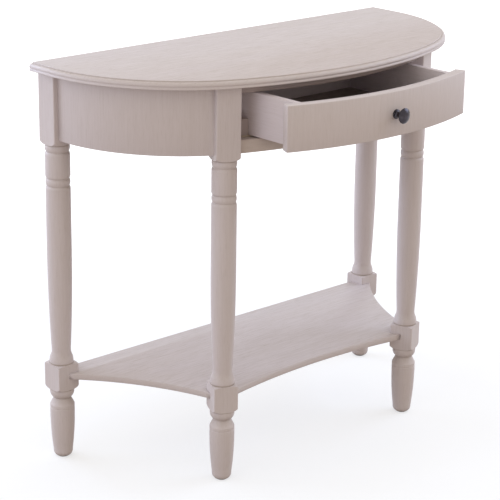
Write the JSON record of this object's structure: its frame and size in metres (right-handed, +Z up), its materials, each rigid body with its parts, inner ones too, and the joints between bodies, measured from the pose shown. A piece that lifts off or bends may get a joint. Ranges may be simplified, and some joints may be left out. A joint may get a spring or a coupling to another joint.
{
  "type": "demilune table",
  "caption": "Half-round console table with a moulded top, turned legs, a curved apron with a bow-fronted drawer, and a low shelf with hollowed edges.",
  "frame": {"origin": "on the floor, under the middle of the table's box with the drawer at its rest opening", "axes": "+X to the table's right seen from the front, -Y to the front where the drawer opens, +Z up"},
  "size_m": [0.886, 0.503, 0.76],
  "materials": {
    "painted_wood": "thin cream-grey paint, open grain showing through",
    "bare_wood": "planed, unfinished",
    "knob_metal": "dark gunmetal, semi-gloss",
    "screw_steel": "zinc plated",
    "glide_plastic": "matt"
  },
  "bodies": {
    "table": {"tabletop": "painted_wood", "rear_left_leg": "painted_wood", "rear_right_leg": "painted_wood", "front_left_leg": "painted_wood", "front_right_leg": "painted_wood", "rear_apron": "painted_wood", "left_side_apron": "painted_wood", "right_side_apron": "painted_wood", "upper_rail": "painted_wood", "lower_rail": "painted_wood", "shelf": "painted_wood", "left_runner": "bare_wood", "right_runner": "bare_wood", "left_guide": "bare_wood", "right_guide": "bare_wood", "left_kicker": "bare_wood", "right_kicker": "bare_wood", "apron_dowels": "bare_wood", "rail_dowels": "bare_wood", "shelf_dowels": "bare_wood", "top_screws": "screw_steel", "guide_screws": "screw_steel", "runner_screws": "screw_steel", "foot_glides": "glide_plastic"},
    "drawer": {"drawer_front": "painted_wood", "drawer_left_side": "painted_wood", "drawer_right_side": "painted_wood", "drawer_back": "painted_wood", "drawer_bottom": "painted_wood", "drawer_knob": "knob_metal", "drawer_dowels": "bare_wood", "drawer_screws": "screw_steel", "knob_screw": "screw_steel"}
  },
  "joints": [
    {"name": "drawer_slide", "type": "slide", "parent": "table", "child": "drawer", "axis": [0, -1, 0], "range_m": [-0.118, 0.07]}
  ]
}
